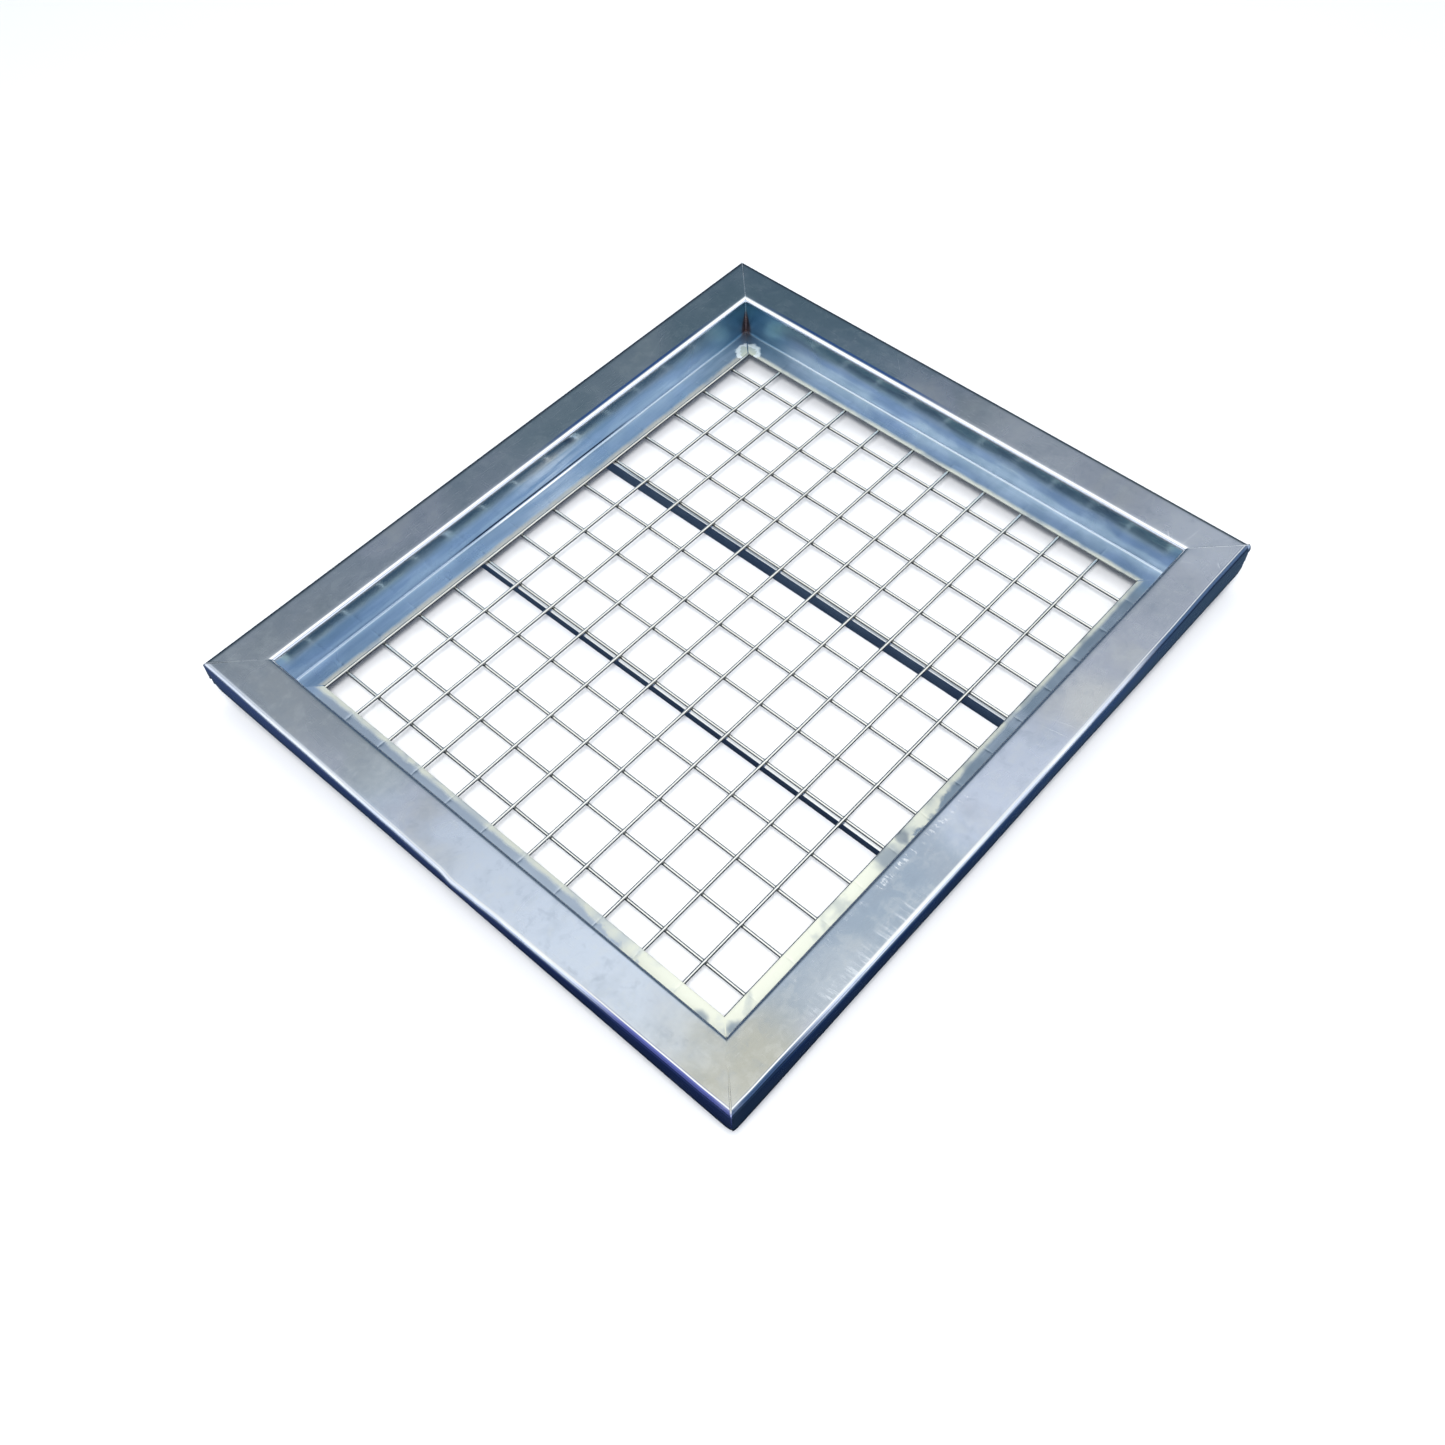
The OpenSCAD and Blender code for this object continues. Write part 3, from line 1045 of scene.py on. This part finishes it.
def heat_tint(skin, colour):
    """Brown beside the corner welds, widening down the tray walls."""
    low_wall = skin.span(skin.girth, WALL_START + 3 * MM, WALL_END)
    reach = skin.plus(0.4 * MM, skin.times(low_wall, 7.8 * MM))
    close = skin.minus(1.0, skin.over(skin.mitre, reach), clamp=True)
    on_wall = skin.window(skin.girth, WALL_START + 1 * MM, LEDGE_START, 2 * MM)
    tint = skin.times(skin.span(close, 0.0, 0.55), on_wall)
    return skin.mix(skin.times(tint, 0.9), colour, HEAT_BROWN)


def seam_haze(skin, colour):
    """A pale haze from grinding, on the flange beside the seams."""
    haze = skin.times(skin.span(skin.mitre, 16 * MM, 1 * MM), skin.span(skin.blotches, 0.40, 0.65))
    haze = skin.times(haze, skin.math("LESS_THAN", skin.girth, FLANGE_END))
    return skin.mix(skin.times(haze, 0.25), colour, rgb(0.78, 0.80, 0.80))


def ground_patch(skin, colour):
    """A pale ragged patch with a bright rim at the ledge's far corner; returns its mask too."""
    away = skin.distance(skin.place, (FRAME_L / 2 - SECTION_W, FRAME_W / 2 - SECTION_W, LEDGE_TOP))
    jagged = skin.noise(skin.place, 150.0, 4.0, 0.7)
    away = skin.plus(away, skin.times(skin.minus(jagged, 0.5), 12 * MM))
    patch = skin.span(away, 12.5 * MM, 10 * MM)
    rim = skin.times(skin.window(away, 7.5 * MM, 12.5 * MM, 1 * MM), 0.8)
    colour = skin.mix(skin.times(patch, 0.75), colour, rgb(0.60, 0.66, 0.55))
    rim = skin.times(rim, skin.span(skin.blotches, 0.30, 0.50))
    return skin.mix(rim, colour, rgb(0.86, 0.92, 0.94)), patch


def grinding_marks(skin):
    """A comb of strokes inside the front rail's fold, nicks along its tray edge and the scratches,
    as a mask."""
    comb = skin.noise(skin.stretched(skin.flat, (330, 40, 1), 0.25), 1.0, 3.0, 0.75, 0.4)
    comb = skin.times(skin.span(comb, 0.45, 0.68), skin.window(skin.along, -0.245, -0.085, 0.04))
    comb = skin.times(comb, skin.span(skin.girth, FLANGE_START + 13 * MM, FLANGE_START + 3 * MM))
    comb = skin.times(comb, skin.math("GREATER_THAN", skin.girth, FLANGE_START))
    comb = skin.times(comb, skin.span(skin.wiped, 0.35, 0.60, 0.15, 0.55))
    nicks = skin.noise(skin.stretched(skin.flat, (330, 90, 1), -0.35), 1.0, 3.0, 0.7)
    nicks = skin.times(skin.span(nicks, 0.54, 0.62), skin.window(skin.along, -0.245, 0.02, 0.04))
    nicks = skin.times(nicks, skin.window(skin.girth, FLANGE_END - 8 * MM, FLANGE_END, 3 * MM))
    nicks = skin.times(nicks, skin.span(skin.wiped, 0.38, 0.62, 0.0, 0.9))
    ground = skin.highest(comb, nicks)
    for mark in SCRATCHES:
        ground = skin.highest(ground, scratch_mark(skin, skin.place, *mark))
    return ground


def fine_scratches(skin):
    """Fine scratches that cross everything, as a mask."""
    strokes = skin.noise(skin.stretched(skin.flat, (60, 2600, 1), 0.12), 1.0, 2.0, 0.6)
    cross_strokes = skin.noise(skin.stretched(skin.flat, (2400, 70, 1), -0.08), 1.0, 2.0, 0.6)
    return skin.highest(skin.span(strokes, 0.64, 0.74), skin.span(cross_strokes, 0.66, 0.76))


def sheet_roughness(skin, chalky, scratch, ground):
    """The tray walls are shinier than the flange, and clouded near the far corner."""
    rough = skin.span(skin.clouds, 0.30, 0.70, 0.20, 0.30)
    shiny = skin.window(skin.girth, FLANGE_END, LEDGE_END, 4 * MM)
    rough = skin.minus(rough, skin.times(shiny, 0.055))
    clouded = skin.distance(skin.place, (FAR_X, FAR_Y, LEDGE_TOP))
    clouded = skin.span(clouded, 110 * MM, 50 * MM, 0.0, 0.16)
    additions = [
        skin.times(chalky, 0.30),
        skin.span(skin.girth, WALL_END, LEDGE_START, 0.0, 0.10),
        skin.times(scratch, 0.08),
        skin.times(clouded, skin.math("GREATER_THAN", skin.girth, WALL_START)),
        skin.times(ground, 0.15),
    ]
    for addition in additions:
        rough = skin.plus(rough, addition)
    return rough


def zinc_sheet(nodes, place):
    """Bright zinc plating on folded steel: cloudy grey on the flange, teal to light blue down the tray
    wall as painted reflection, painted highlights and shade on the bends and lips, chalky towards the
    ledge's edge, with brown heat tint in the welded corners."""
    skin = Skin(nodes, place)
    skin.mitre = skin.attribute("mitre")
    skin.chalk = skin.attribute("chalk")
    skin.flat = skin.vector(skin.along, skin.girth)
    skin.wiped = skin.noise(skin.stretched(skin.flat, (9, 90, 1), 0.05), 1.0, 4.0, 0.65)

    colour = zone_colours(skin)
    # Painted light: highlights on the bends, the shade and highlight of the back rail's crease, a blue
    # reflection at the far corner
    colour = painted_bend_highlights(skin, colour)
    colour = painted_crease_lines(skin, colour)
    colour = painted_blue_reflection(skin, colour)
    colour, chalky = chalked_ledge(skin, colour, chalk_mask(skin))
    colour = heat_tint(skin, colour)
    colour = seam_haze(skin, colour)
    colour, patch = ground_patch(skin, colour)
    ground = grinding_marks(skin)
    colour = skin.mix(skin.times(ground, 0.75), colour, rgb(0.90, 0.92, 0.92))
    scratch = fine_scratches(skin)
    dull = skin.highest(skin.times(chalky, 0.55), skin.times(ground, 0.35))
    dull = skin.highest(dull, skin.times(patch, 0.45))
    grain = skin.bump(skin.noise(place, 420.0, 2.0, 0.6), 0.08, 0.1 * MM)
    marks = skin.bump(skin.highest(scratch, ground), 0.12, 0.04 * MM, grain)
    return {
        "Base Color": colour,
        "Roughness": sheet_roughness(skin, chalky, scratch, ground),
        "Metallic": skin.minus(1.0, dull),
        "Normal": skin.bump(skin.blotches, 0.16, 0.4 * MM, marks),
    }


def weld_metal(nodes, place):
    """Ground and plated weld metal, browned low in the tray corner; where the seam was ground away
    it takes the tone of the sheet beside it."""
    skin = Skin(nodes, place)
    clouds = skin.wiped = skin.noise(place, 160.0, 3.0, 0.6)
    grit = skin.noise(place, 900.0, 2.0, 0.6)
    # The sheet's zone colours, with the painted reflection and shade of the lip and the tray wall
    flush = zone_colours(skin)
    seam = skin.mix(skin.span(clouds, 0.35, 0.65), rgb(0.70, 0.75, 0.78), rgb(0.88, 0.92, 0.93))
    outside_tray = skin.math("LESS_THAN", skin.girth, WALL_START)
    colour = skin.mix(skin.times(skin.attribute("show"), outside_tray), flush, seam)
    low = skin.span(skin.girth, WALL_START + 2 * MM, WALL_END - 12 * MM)
    low = skin.times(low, skin.math("LESS_THAN", skin.girth, WALL_END + 2 * MM))
    colour = skin.mix(low, colour, HEAT_BROWN)
    # The near corner's ledge is chalky
    middle_of_ledge = FLANGE_W + LEDGE_W / 2
    near = (middle_of_ledge - FRAME_L / 2, middle_of_ledge - FRAME_W / 2, LEDGE_TOP)
    chalky = skin.span(skin.distance(place, near), 20 * MM, 14 * MM)
    chalky = skin.times(chalky, skin.math("GREATER_THAN", skin.girth, LEDGE_START))
    rough = skin.span(clouds, 0.3, 0.7, 0.22, 0.34)
    return {
        "Base Color": skin.mix(chalky, colour, CHALK),
        "Roughness": skin.plus(rough, skin.times(chalky, 0.3)),
        "Metallic": skin.minus(0.97, skin.times(chalky, 0.52)),
        "Normal": skin.bump(grit, 0.08, 0.1 * MM),
    }


def drawn_wire(nodes, place):
    """Drawn and plated wire: warm grey-white, with a painted highlight on top and painted shade on its
    flanks.
    """
    crown = nodes.attribute("crown")
    clouds = nodes.noise(place, 30.0, 3.0, 0.6)
    fine = nodes.noise(place, 700.0, 2.0, 0.6)
    colour = nodes.ramp(clouds, [
        (0.30, rgb(0.60, 0.58, 0.52)),
        (0.50, rgb(0.74, 0.72, 0.65)),
        (0.70, rgb(0.84, 0.84, 0.77)),
    ])
    # Painted highlight along the top of the wire
    colour = nodes.mix(nodes.span(crown, 0.80, 0.97), colour, rgb(0.94, 0.94, 0.88))
    return {
        # Painted shade on the wire's flanks
        "Base Color": nodes.mix(nodes.span(crown, 0.86, 0.40), colour, rgb(0.26, 0.26, 0.24)),
        "Roughness": nodes.span(clouds, 0.3, 0.7, 0.26, 0.18),
        "Metallic": 0.97,
        "Normal": nodes.bump(fine, 0.10, 0.1 * MM),
    }


def bar_steel(nodes, place):
    """Flat bar: dark slate blue faces with mill marks, and a painted highlight along the top edge."""
    clouds = nodes.noise(place, 22.0, 4.0, 0.6)
    mill = nodes.noise(nodes.stretched(place, (1200, 14, 1200)), 1.0, 3.0, 0.6)
    colour = nodes.mix(nodes.span(clouds, 0.35, 0.65), rgb(0.17, 0.23, 0.35), rgb(0.24, 0.31, 0.42))
    # Painted highlight on the top edge, broken a little by the mill marks
    lit_top_edge = nodes.times(nodes.attribute("lit_top_edge"), nodes.span(mill, 0.30, 0.60, 0.75, 1.0))
    return {
        "Base Color": nodes.mix(lit_top_edge, colour, rgb(0.96, 0.96, 0.94)),
        "Roughness": nodes.span(mill, 0.3, 0.7, 0.26, 0.42),
        "Metallic": 0.95,
        "Normal": nodes.bump(mill, 0.12, 0.1 * MM),
    }


# ---- stage, light and camera

VIEW_HEADING = math.radians(43.43)  # direction the camera looks in, from +X towards +Y


def paper(nodes, place):
    """Plain pale floor, matt and without a sheen."""
    tone = nodes.noise(place, 3.0, 2.0)
    return {
        "Base Color": nodes.mix(tone, rgb(0.79, 0.79, 0.79), rgb(0.80, 0.80, 0.80)),
        "Roughness": 1.0,
        "Specular IOR Level": 0.0,
    }


def make_floor():
    bm = bmesh.new()
    half_width = 6.0
    bmesh.ops.create_grid(bm, x_segments=1, y_segments=1, size=half_width)
    floor = make_mesh("floor", bm, make_material("floor_paper", paper))
    floor.location.z = CAD_LOW.z
    floor.visible_glossy = False


def make_world():
    """What the plated sheet mirrors. Seen along the view, the studio turns from dark beyond the
    object, over a bright ceiling, to a dimmer band round the camera and a bright wall behind it;
    below the horizon it is dark blue. It is brighter on the right than on the left. Beyond the floor's
    edge the plain backdrop shows."""
    world = bpy.data.worlds.new("studio")
    bpy.context.scene.world = world
    world.use_nodes = True
    nodes = Nodes(world.node_tree)
    direction = nodes.add("ShaderNodeTexCoord").outputs["Generated"]
    split = nodes.add("ShaderNodeSeparateXYZ")
    nodes.link(direction, split.inputs[0])
    east, north, height = split.outputs

    def along(x, y):
        return nodes.plus(nodes.times(east, x), nodes.times(north, y))

    beyond = along(math.cos(VIEW_HEADING), math.sin(VIEW_HEADING))
    rightwards = along(math.sin(VIEW_HEADING), -math.cos(VIEW_HEADING))
    turn = nodes.over(nodes.math("ARCTAN2", height, beyond), math.pi)
    turn = nodes.plus(turn, nodes.times(rightwards, 0.05))
    sky = nodes.ramp(turn, [
        (0.00, rgb(0.030, 0.050, 0.12)),
        (0.14, rgb(0.050, 0.080, 0.13)),
        (0.22, rgb(0.115, 0.180, 0.235)),
        (0.26, rgb(0.240, 0.300, 0.36)),
        (0.30, rgb(0.490, 0.530, 0.59)),
        (0.335, rgb(0.92, 1.00, 1.12)),
        (0.375, rgb(0.70, 0.70, 0.66)),
        (0.42, rgb(1.30, 1.30, 1.28)),
        (0.60, rgb(1.35, 1.40, 1.50)),
        (0.65, rgb(0.46, 0.52, 0.62)),
        (0.74, rgb(0.42, 0.47, 0.57)),
        (0.80, rgb(1.10, 1.18, 1.35)),
        (1.00, rgb(0.90, 1.00, 1.20)),
    ], smooth_ramp=False)
    below = nodes.ramp(nodes.plus(height, 1.0), [
        (0.00, rgb(0.010, 0.020, 0.045)),
        (0.10, rgb(0.016, 0.032, 0.068)),
        (0.20, rgb(0.045, 0.080, 0.135)),
        (0.28, rgb(0.085, 0.130, 0.180)),
        (1.00, rgb(0.090, 0.125, 0.190)),
    ], smooth_ramp=False)
    colour = nodes.mix(nodes.span(height, 0.0, 0.08), below, sky)
    seen = nodes.add("ShaderNodeLightPath").outputs["Is Camera Ray"]
    colour = nodes.mix(seen, colour, rgb(0.90, 0.90, 0.91))
    background = nodes.add("ShaderNodeBackground")
    nodes.link(colour, background.inputs[0])
    background.inputs[1].default_value = 1.0
    output = nodes.add("ShaderNodeOutputWorld")
    nodes.link(background.outputs[0], output.inputs[0])


def make_light(name, place, width, power):
    """A square lamp that points at the origin."""
    data = bpy.data.lights.new(name, "AREA")
    data.shape = "SQUARE"
    data.size = width
    data.energy = power
    light = add_to_scene(name, data)
    light.location = place
    light.rotation_mode = "QUATERNION"
    light.rotation_quaternion = (-Vector(place)).to_track_quat("-Z", "Y")
    # The sheet mirrors the studio only; the lamps light the floor and cast the soft shadows
    light.visible_glossy = False


def make_camera():
    target = Vector((-0.0917, -0.0663, FLANGE_TOP))
    distance = 1.0868
    pitch = math.radians(55.25)
    roll = math.radians(-2.02)
    forward = Vector((
        math.cos(VIEW_HEADING) * math.cos(pitch),
        math.sin(VIEW_HEADING) * math.cos(pitch),
        -math.sin(pitch),
    ))
    level_right = forward.cross(Vector((0, 0, 1))).normalized()
    level_up = level_right.cross(forward)
    right = level_right * math.cos(roll) + level_up * math.sin(roll)
    up = level_up * math.cos(roll) - level_right * math.sin(roll)
    data = bpy.data.cameras.new("camera")
    data.lens = 37.12
    data.sensor_width = 36.0
    camera = add_to_scene("camera", data)
    matrix = Matrix((right, up, -forward)).transposed().to_4x4()
    matrix.translation = target - forward * distance
    camera.matrix_world = matrix
    bpy.context.scene.camera = camera


# ---- the scene

make_camera()
make_floor()
make_world()
make_light("key", (-0.75, -0.65, 2.0), 0.6, 36)
make_light("top", (0.4, 0.4, 2.4), 1.8, 12)

zinc = make_material("zinc_sheet", zinc_sheet)
weld = make_material("weld_seam", weld_metal)
wire = make_material("grid_wire", drawn_wire)
bar = make_material("bar_steel", bar_steel)

for index in range(4):
    make_rail(index, zinc)
# Front right, right back, back left and left front: size of the lump in mm, and how much of the
# ground seam still shows on the flange
for index, (lump, show) in enumerate(((2.6, 0.35), (1.4, 1.0), (1.2, 0.1), (1.2, 0.0))):
    make_corner_weld(index, lump, show, weld)
for node in LONG_WIRES:
    make_wire(node, 0, CROSS_WIRE_X, wire)
for node in CROSS_WIRES:
    make_wire(node, 1, LONG_WIRE_Y, wire)
for node in ("left_bar", "right_bar"):
    make_bar(node, bar)
make_end_welds(weld)

bpy.context.scene.view_settings.view_transform = "Standard"
